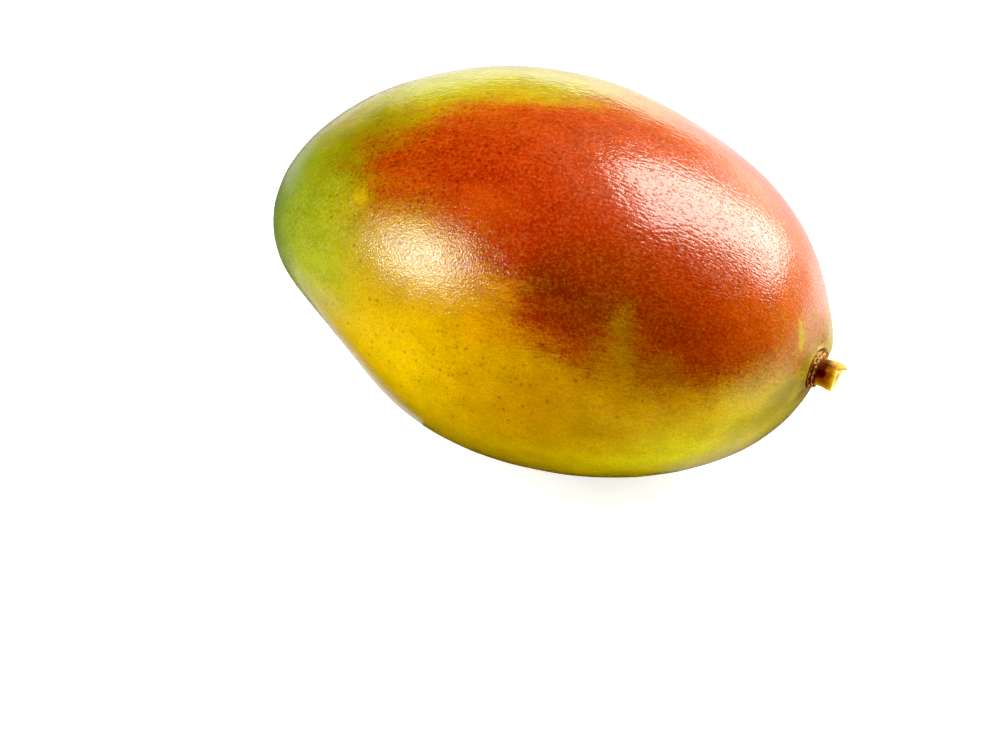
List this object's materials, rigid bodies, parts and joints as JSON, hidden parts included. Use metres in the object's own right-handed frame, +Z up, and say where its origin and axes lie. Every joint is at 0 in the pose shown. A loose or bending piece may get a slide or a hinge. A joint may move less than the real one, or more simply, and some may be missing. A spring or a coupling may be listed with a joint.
{
  "type": "mango",
  "caption": "Whole ripe mango, a smooth egg-shaped fruit with a low beak hollow, lying on its broad side, with the short cut stub of its stalk.",
  "frame": {"origin": "on the surface that the fruit rests on, under the middle of its bounding box", "axes": "+X along the fruit from the apex to the stalk, -Y the side with the hollow under the beak, +Z up through the thickness"},
  "size_m": [0.1368, 0.0922, 0.0794],
  "materials": {
    "skin": "smooth waxy skin, red-orange over golden yellow and green, soft gloss",
    "stalk": "dry tan-yellow stub with a dark corky collar and a pale cut end"
  },
  "bodies": {
    "root": {"fruit": "skin", "stalk": "stalk"}
  },
  "joints": []
}
